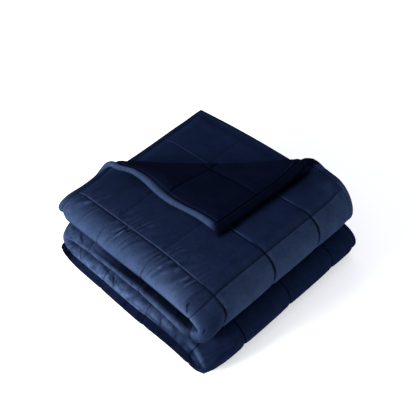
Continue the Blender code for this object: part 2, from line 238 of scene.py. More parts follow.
# Each end of the roll stands open: how high, how far in from the hem, how far along the turned corner.
Opening = namedtuple("Opening", "rise inward onward")
LEFT_OPENING, RIGHT_OPENING = Opening(0.012, 0.085, 0.125), Opening(0.015, 0.090, 0.050)
HEM_PULL, HEM_PULL_OVER = 0.0080, 0.030  # its left hem, pulled in
HEM_WAVE, HEM_WAVELENGTH, HEM_WAVE_START = 0.0035, 0.110, 0.012
HEM_LIFT, HEM_LIFT_REACH = 0.009, 0.120  # the right end of the roll, lifted


def thinned(past):
    """Share of its loft that the cloth keeps, as it nears the roll and past it."""
    return 1.0 - TURNED_THINNING * smooth(1.0 + past / THINNING_SPREAD)


def turned_back(x, y, z, u, v, n, thick, middle, loose, past):
    """The free corner of the top layer, up and over as half an ellipse and then flat on what is below."""
    roll = np.clip(past / ROLL_RADIUS, 0.0, pi)
    beyond = np.maximum(past - ROLL_LENGTH, 0.0)
    below = loose * thinned(-beyond)
    from_roll = np.abs(past - ROLL_LENGTH / 2)
    right_end = smooth(1.0 - (ROLL_LINE - (v - u) / sqrt(2.0)) / RIGHT_OPENING.inward)
    curl = 0.0
    for opening, from_hem in ((LEFT_OPENING, v), (RIGHT_OPENING, u)):
        inward = smooth(1.0 - from_hem / opening.inward)
        curl = curl + opening.rise * inward * smooth(1.0 - beyond / opening.onward)
    rise = (below + REST_GAP + thick + curl) * (1.0 - np.cos(roll)) / 2
    out = (ROLL_RADIUS - n * thick) * np.sin(roll) - beyond - past
    over = past > 0.0
    x = np.where(over, x + (ROLL_SKEW * beyond - out) / sqrt(2.0), x)
    wave = HEM_WAVE * np.sin(tau * (beyond - HEM_WAVE_START) / HEM_WAVELENGTH)
    pulled = (HEM_PULL + wave) * smooth(beyond / HEM_PULL_OVER) * smooth(1.0 - v / PITCH)
    y = np.where(over, y + (ROLL_SKEW * beyond + out) / sqrt(2.0) + pulled, y)
    z = np.where(over, middle + rise + n * thick * np.cos(roll), z)
    z = z + HEM_LIFT * right_end * smooth(1.0 - from_roll / HEM_LIFT_REACH)
    along_hem = felt(HEM_RAISED, v) * smooth((TOP_END - v) / HEM_LOWERED_OVER)
    raised = along_hem * smooth(1.0 - u / HEM_RAISED_ACROSS)
    return x, y + HEM_RAISED_OUT * raised, z + raised


# ---------------------------------------------------------------------------------------------------
# The pile as it stands: sunk at its near corner under its own weight, and flat on the floor.
# ---------------------------------------------------------------------------------------------------
CORNER = (-0.1993, 0.2122)  # from the middle of the pile to where the turned corner would lie
PRESSED = 0.0025  # how far the lowest layer is pressed flat
NEAR_CORNER = (0.405, -0.425)
NEAR_SINK, NEAR_SUNK, NEAR_SINK_SPREAD = 0.014, 0.66, 0.065  # how far, up to what share of the height
NEAR_DROOP = 0.019  # how far its top edge hangs
NEAR_POINT, NEAR_POINT_SPREAD = 0.004, 0.022  # how far its foot is drawn to a point


def settled(x, y, z):
    """The pile sunk at its near corner, pressed flat on the floor, and stood on its centre."""
    z = z - PRESSED
    near = np.hypot(x - NEAR_CORNER[0], y - NEAR_CORNER[1])
    share = np.clip(z / BANDS[0].high, 0.0, 1.0)
    sink = NEAR_SINK * np.sin(pi * np.minimum(share / NEAR_SUNK, 1.0)) + NEAR_DROOP * share ** 4
    z = z - sink * bell(near, NEAR_SINK_SPREAD)
    point = NEAR_POINT * (1.0 - share) * bell(near, NEAR_POINT_SPREAD)
    x, y = x + point, y - point
    return np.stack([x + CORNER[0], y + CORNER[1], np.maximum(z, 0.0)], -1)


def place(u, v, n, quilted=True):
    """The cloth's point at u across, v along and n through it: -1 at its inner face, 1 at its outer."""
    first, second = fold_path(v)
    depth = np.hypot(*np.moveaxis(first - second, -1, 0)) / 2
    layer = (depth + LAYER_GAP / 2) / 2
    loose = (depth - LAYER_GAP / 2) / 2
    on_top = (u < MIDDLE) & (v < TOP_END)
    past = ROLL_LINE - (u + v) / sqrt(2.0)
    loft = np.where(on_top, thinned(past), 1.0) * loose
    thick = half_thickness(u, v, loft) if quilted else loft
    flat = drawn(*doubled(u, v, n, thick, layer), u, v)
    middle = (first + second)[..., 1] / 2 + layer
    rolled = turned_back(*flat, u, v, n, thick, middle, loose, past)
    return settled(*(np.where(on_top, turned, still) for turned, still in zip(rolled, flat)))


# ---------------------------------------------------------------------------------------------------
# Puckers: the cloth gathers a little along each line of stitches, as short ripples across it, and most
# along the seam over the doubled edge, where they run down its side.
# ---------------------------------------------------------------------------------------------------
PUCKER_HEIGHT, PUCKER_START, PUCKER_REACH = 0.0005, 0.003, 0.014
PUCKER_WAVES = ((0.0137, 1.0), (0.0173, 0.8), (0.0231, 0.7))  # wavelength and weight
SEAM_SHIFT, SIDE_SHIFT = 2.4, 0.31  # so that no two seams, nor the two sides of one, ripple alike
EDGE_SEAM = 3  # the seam over the doubled edge, counted from the hem
EDGE_HEIGHT, EDGE_START, EDGE_REACH = 0.0026, 0.006, 0.040
UPPER_GATHERS, UPPER_REACH = 0.50, 0.032  # how strong they are on the upper side of the seam
GATHER_LENGTH, GATHER_LEAN = 0.0137, 0.34  # from one ripple to the next, and how much they lean
GATHER_SWAY, GATHER_SWAY_LENGTH = 0.0080, 0.083  # how far they sway along the seam
GATHER_MEAN, GATHER_SWING, GATHER_SWING_LENGTH, GATHER_SWING_LEAN = 0.65, 0.35, 0.0391, 90.0
# Where along the cloth the doubled edge is gathered most: the middle, half the length, and how much.
Gather = namedtuple("Gather", "middle half much")
GATHERS = (
    Gather(0.045, 0.030, 0.7), Gather(0.162, 0.036, 1.2), Gather(0.268, 0.026, 1.2),
    Gather(0.318, 0.024, 0.8), Gather(0.905, 0.040, 0.5), Gather(1.060, 0.040, 0.3),
)
LEAST_GATHERED = 0.10


def ripple(along, seed):
    """An uneven wave along a seam: three sines whose wavelengths have no common multiple."""
    total = 0.0
    for number, (length, weight) in enumerate(PUCKER_WAVES):
        total = total + weight * np.sin(tau * along / length + (number + 1) * SEAM_SHIFT * seed)
    return total / sum(weight for _, weight in PUCKER_WAVES)


def gathered(u, v):
    """How strongly the cloth is gathered: most in the patches along the edge seam, fading away from it
    as a bell, and swinging along it as a sine."""
    down = u - EDGE_SEAM * PITCH
    reach, share = np.where(down > 0.0, EDGE_REACH, UPPER_REACH), np.where(down > 0.0, 1.0, UPPER_GATHERS)
    much = LEAST_GATHERED + sum(gather.much * bell(v - gather.middle, gather.half) for gather in GATHERS)
    swing = GATHER_MEAN + GATHER_SWING * np.sin(tau * v / GATHER_SWING_LENGTH + GATHER_SWING_LEAN * down)
    return smooth(np.abs(down) / EDGE_START) * bell(down, reach) * share * much * swing


def gather_valleys(u, v):
    """The ripples down the doubled edge, 0 to -1: narrow valleys, (1 - |sine|)^2, leaning along it."""
    down = u - EDGE_SEAM * PITCH
    wave = GATHER_LEAN * down + v + GATHER_SWAY * np.sin(tau * v / GATHER_SWAY_LENGTH)
    return -gathered(u, v) * (1.0 - np.abs(np.sin(pi * wave / GATHER_LENGTH))) ** 2


def puckers(u, v):
    """Height of the ripples along the seams and hems, on top of the cloth's own thickness."""
    height = 0.0
    for across, along in ((u, v), (v, u)):
        seam = np.round(across / PITCH)
        away = np.abs(across - seam * PITCH)
        fade = np.exp(-away / PUCKER_REACH) * smooth(away / PUCKER_START)
        height = height + fade * ripple(along, seam + np.sign(across - seam * PITCH) * SIDE_SHIFT)
    return PUCKER_HEIGHT * height + EDGE_HEIGHT * gather_valleys(u, v)


# ---------------------------------------------------------------------------------------------------
# The cloth's two faces, both on one grid of (u, v): finer where they show, and coarser on the lower
# bands, most of which are hidden.
# ---------------------------------------------------------------------------------------------------
COLUMNS = (28, 28, 28, 36, 12, 14, 16)  # in each square across
FINE_ROWS = (36, 36, 36, 36, 32)  # in each square along: the top layer and the first turn
COARSE_ROWS = (14, 14, 24, 24, 24, 24, 20, 12, 12)
CROWDING = 0.45  # how much closer the grid's lines are at the seams
LEAST_LENGTH = 1e-12  # of a normal, so that none is divided by zero


def grid_lines(counts):
    """Places along the cloth, crowded at the seams: s - k sin(2 pi s) / (2 pi) in each square."""
    lines = []
    for square, count in enumerate(counts):
        share = np.arange(count) / count
        lines.append(PITCH * (square + share - CROWDING * np.sin(tau * share) / tau))
    return np.append(np.concatenate(lines), len(counts) * PITCH)


def normals_of(points):
    """Unit normals of a grid of points, from its differences along rows and columns."""
    across, along = np.gradient(points, axis=1), np.gradient(points, axis=0)
    normal = np.cross(across, along)
    return normal / np.maximum(np.linalg.norm(normal, axis=-1, keepdims=True), LEAST_LENGTH)


def face_points(n):
    """One face of the cloth, with its puckers raised along its normals."""
    points = place(U, V, np.full(U.shape, float(n)))
    edge = np.minimum(np.minimum(U, WIDTH - U), np.minimum(V, LENGTH - V))
    height = puckers(U, V) * smooth(edge / HEM_STITCH)
    points = points + n * normals_of(points) * height[..., None]
    points[..., 2] = np.maximum(points[..., 2], 0.0)
    return points


columns, rows = grid_lines(COLUMNS), grid_lines(FINE_ROWS + COARSE_ROWS)
U, V = np.meshgrid(columns, rows)
outer, inner = face_points(1), face_points(-1)

# ---------------------------------------------------------------------------------------------------
# The lie of the pile, with painted light and shade: how pale it is painted at each point, its quilting left
# out. It is palest on the doubled edge, where the pile stands up and where it is painted as lit by the key
# light, and darkest on the reverse of the turned corner and in the painted shade where folds shade it.
# ---------------------------------------------------------------------------------------------------
TOP_TONE, UNDER_TONE, TURNED_TONE = 0.085, 0.075, 0.0
SHOULDER_TONE, SHOULDER_SHARE = 0.26, 0.5  # just over the edge seam: in this share of the way to the middle
GLOW, GLOW_REACH = 0.035, 0.030  # a little paler on the top towards that seam
# The doubled edge, painted paler where it is lit and darker where it is shaded, by the place along the
# cloth: its near half across, its far half, and where past the middle of the width the far half begins.
NEAR_HALF_AT = (0.0, 0.24, 0.32, 0.40, 0.46, 0.54, 0.62, 0.80, 0.95, 1.15, 1.22, 1.28, 1.33)
NEAR_HALF_TONE = (0.36, 0.42, 0.60, 0.66, 0.38, 0.36, 0.36, 0.36, 0.54, 0.50, 0.10, 0.06, 0.04)
FAR_HALF_AT = (0.0, 0.42, 0.50, 0.66, 0.73, 0.78, 0.88, 0.95, 1.12, 1.30)
FAR_HALF_TONE = (0.14, 0.08, 0.05, 0.10, 0.20, 0.30, 0.36, 0.22, 0.07, 0.04)
FAR_HALF_FROM_AT = (0.0, 0.42, 0.46, 0.62, 0.72, 0.95, 1.06, 1.15, 1.25)
FAR_HALF_FROM = (-0.003, -0.003, 0.004, 0.004, 0.0, 0.005, 0.003, -0.010, -0.014)
FAR_HALF_OVER = 0.009
# The folds towards +X are painted paler on the first turn and darker on the third, as light falls on them.
RIGHT_TONE_AT, RIGHT_TONE = (0.30, 0.38, 0.52, 1.20), (0.15, 0.43, 0.41, 0.090)  # the folds towards +X
# How far a normal must point towards -Y for its face to count as turned to the left, towards the key
# light, where the pile is painted paler as lit, and where towards +X that ends. Below the top, one towards
# -X counts for this share of it.
TO_LEFT, LEFT_ENDS, LEFT_END_SHARE = Onset(1.0, 0.15, 0.65), 0.75, 0.9
CURL_SQUARES = 2.5  # as far across as this the top counts as level, whatever way its roll turns it
NOSE, NOSE_REACH, NOSE_SHADE = (0.395, 0.428), (0.034, 0.052), 0.68  # the near corner of the first turn
# Painted light and shade on the hems: the rolled hem is painted pale, as lit by the key light, and the
# rounded edge of the other hems dark, as in shade.
ROLLED_HEM_TONE, ROLLED_FADE, HEM_TONE = 0.34, 0.024, 0.03
ROLLED_HEM_PAST, ROLLED_HEM_OVER = 0.001, 0.002
# How far the seams are lit, where they are painted paler with a painted shade line beside them: on the
# top, as far as this past its end, and less on the layer under it.
LIT, UNDER_LIT = Onset(1.0, -0.020, 0.050), 0.6
# Less light, from so far past the middle of the width: on the upper half of the second band's edge, tucked
# in under the first, on the foot of the first band's edge, and under the near end of the first turn.
RECESS = Onset(0.84, 0.0015, 0.007)
RECESS_FROM, RECESS_UNTIL = Onset(1.0, 0.455, 0.050), Onset(1.0, 0.050, 0.080)
RECESS_LEAN, RECESS_LEAN_FROM = 0.030, 0.58
FOOT, FOOT_END = Onset(0.75, 0.005, 0.008), 0.45
WEDGE, WEDGE_AT, WEDGE_REACH = Onset(0.80, -0.004, 0.005), 0.490, 0.022
# Painted shade on the last band's near side, less away from the turn, and on the end of the cloth there.
LAST_SHADE_AT, LAST_SHADE, LAST_FROM = (1.42, 1.60), (0.55, 0.22), Onset(1.0, 1.27, 0.06)
END, NEAR_SIDE_REACH = Onset(0.80, -0.055, 0.030), 0.11
HEM_SHADE = 0.45  # the turned corner's right hem
# The shadow line beside that hem, wider towards its far end, and the soft shadow behind that end.
CONTACT_SHADE, CONTACT_REACH_AT, CONTACT_REACH = 0.90, (0.0, 0.20), (0.006, 0.012)
CONTACT_POINTS, CONTACT_SHORT = 60, 0.025
BEHIND, BEHIND_REACH, BEHIND_UNTIL = Onset(0.48, 0.10, 0.20), 0.075, Onset(1.0, -0.020, 0.050)
BESIDE_HEM, BESIDE_TIP = 0.12, 0.07  # how far round the turned corner's place its shadow is looked for


def tone_of(n):
    """Painted paleness from the way the cloth turns, towards the key light or away from it, and the place
    along it, and how far its seams across are lit.
    """
    normal = n * normals_of(place(U, V, np.full(U.shape, float(n)), quilted=False))
    in_curl = (V < BANDS[0].end) & (U < CURL_SQUARES * PITCH)
    to_end = np.where(V > TOP_END, -LEFT_END_SHARE * normal[..., 0], -1.0)
    leftward = np.maximum(-normal[..., 1], to_end)
    to_left = felt(TO_LEFT, leftward) * smooth(1.0 - normal[..., 0] / LEFT_ENDS) * ~in_curl
    to_right = smooth(normal[..., 0]) * (1.0 - to_left) * ~in_curl
    level = 1.0 - to_left - to_right
    on_top = TOP_TONE if n > 0 else np.where(U < MIDDLE, TURNED_TONE, UNDER_TONE)
    past_seam = U - EDGE_SEAM * PITCH
    in_first = (V < BANDS[0].end) * (n > 0)
    to_middle = past_seam / (MIDDLE - EDGE_SEAM * PITCH)
    shoulder = smooth(to_middle / SHOULDER_SHARE) * in_first * (U < MIDDLE)
    glow = GLOW * np.exp(-np.clip(-past_seam, 0.0, 1.0) / GLOW_REACH) * in_first * (1.0 - shoulder)
    on_top = on_top + glow
    on_top = on_top + (SHOULDER_TONE - on_top) * shoulder
    far_half = smooth((U - MIDDLE - np.interp(V, FAR_HALF_FROM_AT, FAR_HALF_FROM)) / FAR_HALF_OVER)
    near_tone = np.interp(V, NEAR_HALF_AT, NEAR_HALF_TONE)
    far_tone = np.interp(V, FAR_HALF_AT, FAR_HALF_TONE)
    left = near_tone + (far_tone - near_tone) * far_half
    right = np.interp(V, RIGHT_TONE_AT, RIGHT_TONE)
    tone = on_top * level + left * to_left + right * to_right
    from_nose = np.hypot((U - NOSE[0]) / NOSE_REACH[0], (V - NOSE[1]) / NOSE_REACH[1])
    tone = tone * (1.0 - NOSE_SHADE * bell(from_nose, 1.0))
    in_rolled_hem = smooth((ROLLED_STITCH + ROLLED_HEM_PAST - V) / ROLLED_HEM_OVER) * (U < MIDDLE) * (n < 0)
    tone = tone + (ROLLED_HEM_TONE - tone) * in_rolled_hem * smooth(U / ROLLED_FADE)
    lit = level * felt(LIT, BANDS[0].end - V)
    return tone, lit if n > 0 else lit * np.where(U < MIDDLE, 0.0, UNDER_LIT)


def fold_shade():
    """How much light the folds keep off the outer face: the most of what each of them keeps off there."""
    past_middle = U - MIDDLE
    near_side = bell(past_middle, NEAR_SIDE_REACH)
    leaning = RECESS_LEAN * np.clip(V - RECESS_LEAN_FROM, 0.0, 1.0)
    along = felt(RECESS_FROM, V) * felt(RECESS_UNTIL, BANDS[1].end - V)
    recess = along * felt(RECESS, past_middle - leaning)
    foot = felt(FOOT, past_middle) * (V < FOOT_END)
    wedge = felt(WEDGE, -past_middle) * bell(V - WEDGE_AT, WEDGE_REACH)
    last = np.interp(V, LAST_SHADE_AT, LAST_SHADE) * felt(LAST_FROM, V) * near_side
    end = felt(END, V - LENGTH) * near_side
    return np.maximum.reduce([recess, foot, wedge, last, end])


def contact_shade():
    """How much light the turned corner's right hem keeps off the top: a bell of the distance to it."""
    along = np.linspace(0.0, TURNED_SIDE - CONTACT_SHORT, CONTACT_POINTS)
    hem = place(np.full(CONTACT_POINTS, -HEM_ROUND), along, np.zeros(CONTACT_POINTS))[:, :2]
    near = (U < TURNED_SIDE + BESIDE_TIP) & (U + V > TURNED_SIDE)
    near = near & (V > TURNED_SIDE - BESIDE_HEM) & (V < BANDS[0].end - BEHIND_UNTIL.start)
    apart = np.linalg.norm(outer[near][:, None, :2] - hem[None], axis=-1)
    nearest, apart = along[apart.argmin(axis=1)], apart.min(axis=1)
    contact = CONTACT_SHADE * bell(apart, np.interp(nearest, CONTACT_REACH_AT, CONTACT_REACH))
    behind = felt(BEHIND, nearest) * bell(apart, BEHIND_REACH) * felt(BEHIND_UNTIL, BANDS[0].end - V[near])
    shade = np.zeros(U.shape)
    shade[near] = np.maximum(contact, behind)
    return shade


(outer_tone, outer_lit), (inner_tone, inner_lit) = tone_of(1), tone_of(-1)
outer_shadow = np.maximum(fold_shade(), contact_shade())
inner_shadow = HEM_SHADE * (U < SIDE_STITCH) * (V < TURNED_SIDE)

# ---------------------------------------------------------------------------------------------------
# The blanket's mesh: its two faces, and the rounded edge between them. It is one closed, padded piece.
# ---------------------------------------------------------------------------------------------------
ROUND_STEPS = 6
AT_EDGE = 1e-6  # nearer than this counts as on the edge
END_EDGE = 0.030  # how far from the end of the cloth its edge is shaded


def quads(index):
    """The faces between the rows of a grid of vertex numbers."""
    return np.stack([index[:-1, :-1], index[:-1, 1:], index[1:, 1:], index[1:, :-1]], -1).reshape(-1, 4)


def halving(fine, coarse):
    """The faces between a row of 2n + 1 vertices and one of n + 1: three triangles for each n."""
    a, b, c, p, q = fine[:-1:2], fine[1::2], fine[2::2], coarse[:-1], coarse[1:]
    return np.concatenate([np.stack(three, -1) for three in ((a, b, p), (b, q, p), (b, c, q))])


def in_mesh(grid):
    """The grid's values at the mesh's vertices: every other column is left out past the fine squares."""
    upper, lower = grid[:fine_rows], grid[fine_rows:, ::2]
    return np.concatenate([upper.reshape(-1, *grid.shape[2:]), lower.reshape(-1, *grid.shape[2:])])


fine_rows = sum(FINE_ROWS) + 1
count = len(in_mesh(U))
fine = np.arange(fine_rows * len(columns)).reshape(fine_rows, len(columns))
coarse = np.arange(fine.size, count).reshape(len(rows) - fine_rows, -1)
face_quads = np.concatenate([quads(fine), quads(coarse)])
face_threes = halving(fine[-1], coarse[0])
rim = np.concatenate([
    fine[0, :-1], fine[:, -1], coarse[:-1, -1], coarse[-1, :0:-1], coarse[::-1, 0], fine[:0:-1, 0],
])

uv = np.stack([in_mesh(U), in_mesh(V)], -1)
edge_uv = uv[rim]
edge_u, edge_v = edge_uv.T
away = np.isclose(edge_uv, (WIDTH, LENGTH)).astype(float) - np.isclose(edge_uv, 0.0)
rings = []
for step in range(1, ROUND_STEPS):
    turn = pi * step / ROUND_STEPS
    out = edge_uv + HEM_ROUND * sin(turn) * away
    rings.append(place(out[:, 0], out[:, 1], np.full(len(out), cos(turn))))
ring_index = 2 * count + np.arange(len(rim) * len(rings)).reshape(len(rings), -1)
around = np.vstack([rim, ring_index, rim + count])
around = np.concatenate([around, around[:, :1]], axis=1)

# The rounded edge is painted pale along the rolled hem, as lit, and dark on the other hems, with painted
# shade beside the turned corner and at the end.
at_start = edge_v < AT_EDGE
edge_tone = np.where(at_start & (edge_u < MIDDLE), ROLLED_HEM_TONE, HEM_TONE)
edge_tone = edge_tone * np.where(at_start, smooth(edge_u / ROLLED_FADE), 1.0)
edge_shadow = np.where((edge_u < AT_EDGE) & (edge_v < TURNED_SIDE), HEM_SHADE, 0.0)
end_shadow = END.by * bell(edge_u - MIDDLE, NEAR_SIDE_REACH)
edge_shadow = np.where(edge_v > LENGTH - END_EDGE, end_shadow, edge_shadow)
bare_edge, bare_face = np.zeros(len(rim)), np.zeros(U.shape)

points = np.concatenate([in_mesh(outer), in_mesh(inner), *rings])
faces = [
    *face_quads.tolist(), *face_threes.tolist(),
    *(face_quads + count)[:, ::-1].tolist(), *(face_threes + count)[:, ::-1].tolist(),
    *quads(around)[:, ::-1].tolist(),
]
mesh = bpy.data.meshes.new("quilted_blanket")
mesh.from_pydata(points.tolist(), [], faces)
mesh.shade_smooth()
flat = np.vstack([uv, uv, np.tile(edge_uv, (len(rings), 1))])  # each point's place on the flat cloth
flat = np.column_stack([flat, np.zeros(len(points))]).astype(np.float32)
mesh.attributes.new("flat", "FLOAT_VECTOR", "POINT").data.foreach_set("vector", flat.ravel())
for name, outside, inside, round_edge in (
    ("tone", outer_tone, inner_tone, edge_tone),
    ("lit", outer_lit, inner_lit, bare_edge),
    ("gathered", gathered(U, V), bare_face, bare_edge),
    ("shadow", outer_shadow, inner_shadow, edge_shadow),
):
    values = np.concatenate([in_mesh(outside), in_mesh(inside), np.tile(round_edge, len(rings))])
    mesh.attributes.new(name, "FLOAT", "POINT").data.foreach_set("value", values.astype(np.float32))
blanket = bpy.data.objects.new("quilted_blanket", mesh)
bpy.context.scene.collection.objects.link(blanket)
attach(blanket, "root")
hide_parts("blanket")

# ---------------------------------------------------------------------------------------------------
# Velvet: short-pile polyester, brushed, dark navy. The pile catches light at its tips, so the cloth
# is dark face on and paler where it turns away or its pile is stroked the other way. Painted light and
# shade are added to its colour: paler where it faces the key light, painted shade in folds, seams,
# gathers and creases, and painted highlights on lit seams and crests.
# ---------------------------------------------------------------------------------------------------
FACE_ON = 0.075  # the paleness at which the pile has its own colour
# The colours of the painted light and shade: in shade, face on, and turned away and lit.
PILE_COLOURS = ("#070b1b", "#101930", "#435475")  # in shade, face on and turned away
# Half the width of each sewn line, which is drawn wider than the thread so that it shows.
U_LINE, V_LINE, HEM_LINE = 0.0021, 0.0018, 0.0018
# The dark line beside a lit seam is painted shade, and the pale ridge inside the hem's stitches a painted
# highlight.
BESIDE_AT, BESIDE_LINE = 0.0034, 0.0024  # the dark line beside a lit seam
RIDGE_AT, RIDGE_LINE = 0.0032, 0.0016  # the pale ridge inside the hem's stitches
SOFT = {"interpolation_type": "SMOOTHSTEP"}
# Patches of 13 mm in which the gathers show or break off, and blotches of 29 mm and strokes of 5 mm in
# which the pile leans one way or the other, its hairs being too fine to show: cells to the metre.
PATCHES, BLOTCHES, STROKES = 75.0, 34.0, 210.0
BLOTCH_SHARE, STROKE_SHARE = 0.60, 0.40
# From which noise to which, and from which strength to which.
UNEVEN, NAP_SHADE, MOTTLED = (0.38, 0.60, 0.0, 1.25), (0.32, 0.68, 0.78, 1.22), (0.35, 0.65, 1.06, 0.92)
VALLEY_POWER, CREST_POWER = 1.5, 3.0
CRUSHED_REACH, CRUSHED_FROM, CRUSHED_SHADE = 0.090, 0.45, 2.4  # on the doubled edge of the lower bands
MOST_DARKENED, MOST_SHADED = 0.85, 0.95
# Short folds pressed into the cloth, drawn in the bump and as painted shade: where each starts in u and
# v, how far it runs in each, how deep.
Crease = namedtuple("Crease", "u v to_u to_v much")
CREASE_HALF = 0.0040
CREASES = (
    Crease(0.397, 0.346, 0.012, 0.001, 1.0), Crease(0.404, 0.349, 0.016, 0.007, 1.0),
    Crease(0.402, 0.990, 0.020, 0.020, 1.1), Crease(0.410, 0.984, 0.006, 0.018, 0.9),
    Crease(0.412, 1.130, 0.010, 0.010, 0.9), Crease(0.436, 0.750, 0.018, 0.014, 0.8),
    Crease(PITCH, 0.350, 0.0, 0.100, 1.2), Crease(2 * PITCH, 0.350, 0.0, 0.100, 1.2),
    Crease(3 * PITCH, 0.380, 0.0, 0.080, 1.0), Crease(0.408, 0.405, 0.008, 0.024, 0.8),
    Crease(0.004, 0.238, 0.060, 0.012, 0.7), Crease(0.004, 0.262, 0.050, 0.010, 0.7),
    Crease(0.004, 0.288, 0.045, 0.004, 0.6), Crease(0.398, 0.930, 0.018, 0.110, 0.5),
    Crease(0.420, 1.030, 0.004, 0.130, 0.6), Crease(0.400, 1.110, 0.018, 0.080, 0.5),
    Crease(0.436, 0.640, 0.004, 0.090, 0.5), Crease(0.400, 0.880, 0.024, 0.020, 0.7),
    Crease(0.412, 0.845, 0.020, -0.020, 0.7),
)
# The ridge is drawn only as a painted highlight: it makes the pile paler and does not raise the bump.
RIDGES = (Crease(0.415, 1.196, 0.003, 0.070, 1.0),)  # one that stands up, at the near foot of the pile


def colour(hexes):
    """An sRGB hex colour as linear red, green, blue and alpha."""
    parts = [int(hexes[i:i + 2], 16) / 255 for i in (1, 3, 5)]
    return tuple(p / 12.92 if p <= 0.04045 else ((p + 0.055) / 1.055) ** 2.4 for p in parts) + (1.0,)


def add(kind, inputs, output=0, **settings):
    """Adds a node to the velvet with its settings, and links or sets its inputs, in order or by name.
    Gives one of its outputs."""
    node = velvet.node_tree.nodes.new("ShaderNode" + kind)
    for name, value in settings.items():
        setattr(node, name, value)
    for socket, source in (inputs if isinstance(inputs, dict) else dict(enumerate(inputs))).items():
        if isinstance(source, bpy.types.NodeSocket):
            velvet.node_tree.links.new(source, node.inputs[socket])
        else:
            node.inputs[socket].default_value = source
    return node.outputs[output]


def creased(creases):
    """How deep the folds are: for each, 1 on its line and softly down to 0 beside it, times 4 s (1 - s)
    at the share s of its length."""
    total = 0.0
    for crease in creases:
        way = (crease.to_u, crease.to_v, 0.0)
        start = add("VectorMath", (cloth, (crease.u, crease.v, 0.0)), operation="SUBTRACT")
        along = add("VectorMath", (start, way), output="Value", operation="DOT_PRODUCT")
        squared = crease.to_u ** 2 + crease.to_v ** 2
        share = add("Math", (along, squared), operation="DIVIDE", use_clamp=True)
        foot = add("VectorMath", {0: way, "Scale": share}, operation="SCALE")
        off = add("VectorMath", (start, foot), output="Value", operation="DISTANCE")
        line = add("MapRange", (off, 0.0, CREASE_HALF, 1.0, 0.0), **SOFT)
        rest = add("Math", (1.0, share), operation="SUBTRACT")
        taper = add("Math", (share, rest), operation="MULTIPLY")
        taper = add("Math", (taper, 4.0 * crease.much), operation="MULTIPLY")
        total = add("Math", (line, taper, total), operation="MULTIPLY_ADD")
    return total


def summed(total, marks):
    """A sum of marks, each times a strength, with so much more or less of it where the cloth is lit."""
    for mark, strength, when_lit in marks:
        strength = add("Math", (lit, when_lit, strength), operation="MULTIPLY_ADD")
        total = add("Math", (mark, strength, total), operation="MULTIPLY_ADD")
    return total


velvet = bpy.data.materials.new("navy_velvet")
velvet.use_nodes = True
shader = velvet.node_tree.nodes["Principled BSDF"]
cloth = add("Attribute", (), output="Vector", attribute_name="flat")
tone, lit, gathers, shadow = (
    add("Attribute", (), output="Fac", attribute_name=name) for name in ("tone", "lit", "gathered", "shadow")
)
u, v = add("SeparateXYZ", (cloth,)).node.outputs[:2]

# The seams and the hems' stitches, each a soft line at its distance, the seams only inside the hems.
to_far_side = add("Math", (WIDTH, u), operation="SUBTRACT")
to_far_end = add("Math", (LENGTH, v), operation="SUBTRACT")
from_side = add("Math", (u, to_far_side), operation="MINIMUM")
from_side = add("Math", (from_side, HEM_STITCH - SIDE_STITCH), operation="ADD")
from_start = add("Math", (v, HEM_STITCH - ROLLED_STITCH), operation="ADD")
from_end = add("Math", (from_start, to_far_end), operation="MINIMUM")
from_edge = add("Math", (from_side, from_end), operation="MINIMUM")
inside = add("Math", (from_edge, HEM_STITCH), operation="GREATER_THAN")
beside_u = add("Math", (u, BESIDE_AT), operation="SUBTRACT")
sewn = []
for side, half in ((u, U_LINE), (v, V_LINE), (beside_u, BESIDE_LINE)):
    off = add("Math", (side, PITCH / 2), operation="PINGPONG")
    drawn_line = add("MapRange", (off, 0.0, half, 1.0, 0.0), **SOFT)
    sewn.append(add("Math", (drawn_line, inside), operation="MULTIPLY"))
for at, half in ((HEM_STITCH, HEM_LINE), (HEM_STITCH + RIDGE_AT, RIDGE_LINE)):
    off = add("Math", (add("Math", (from_edge, at), operation="SUBTRACT"),), operation="ABSOLUTE")
    sewn.append(add("MapRange", (off, 0.0, half, 1.0, 0.0), **SOFT))
u_line, v_line, beside, hem_line, hem_ridge = sewn
stitched = add("Math", (add("Math", (u_line, v_line), operation="MAXIMUM"), hem_line), operation="MAXIMUM")

# The gathers, as gather_valleys draws them, broken off in patches, and the folds: their valleys and creases
# get painted shade below, and their crests painted highlights.
patches = add("TexNoise", {"Vector": cloth, "Scale": PATCHES, "Detail": 2.0})
gathers = add("Math", (gathers, add("MapRange", (patches, *UNEVEN))), operation="MULTIPLY")
down = add("Math", (u, EDGE_SEAM * PITCH), operation="SUBTRACT")
sway = add("Math", (add("Math", (v, tau / GATHER_SWAY_LENGTH), operation="MULTIPLY"),), operation="SINE")
wave = summed(v, ((down, GATHER_LEAN, 0.0), (sway, GATHER_SWAY, 0.0)))
wave = add("Math", (add("Math", (wave, pi / GATHER_LENGTH), operation="MULTIPLY"),), operation="SINE")
crest = add("Math", (wave,), operation="ABSOLUTE")
valley = add("Math", (1.0, crest), operation="SUBTRACT")
valleys, crests = (
    add("Math", (add("Math", (height, power), operation="POWER"), gathers), operation="MULTIPLY")
    for height, power in ((valley, VALLEY_POWER), (crest, CREST_POWER))
)
pressed, raised = creased(CREASES), creased(RIDGES)
# How much darker each mark is painted, and how much more where the cloth is lit: painted shade in the
# seams' and hems' stitch lines, beside lit seams, in the gathers' valleys and in the creases; below 0, the
# hem's ridge, the gathers' crests and the lit seams are painted highlights.
darkening = summed(0.0, (
    (u_line, 0.72, -1.30), (v_line, 0.42, -0.27), (beside, 0.0, 0.45), (hem_line, 0.40, 0.0),
    (hem_ridge, -0.70, 0.0), (valleys, 0.62, 0.0), (pressed, 0.60, 0.0), (crests, -0.22, 0.0),
))
darkening = add("Math", (darkening, MOST_DARKENED), operation="MINIMUM")

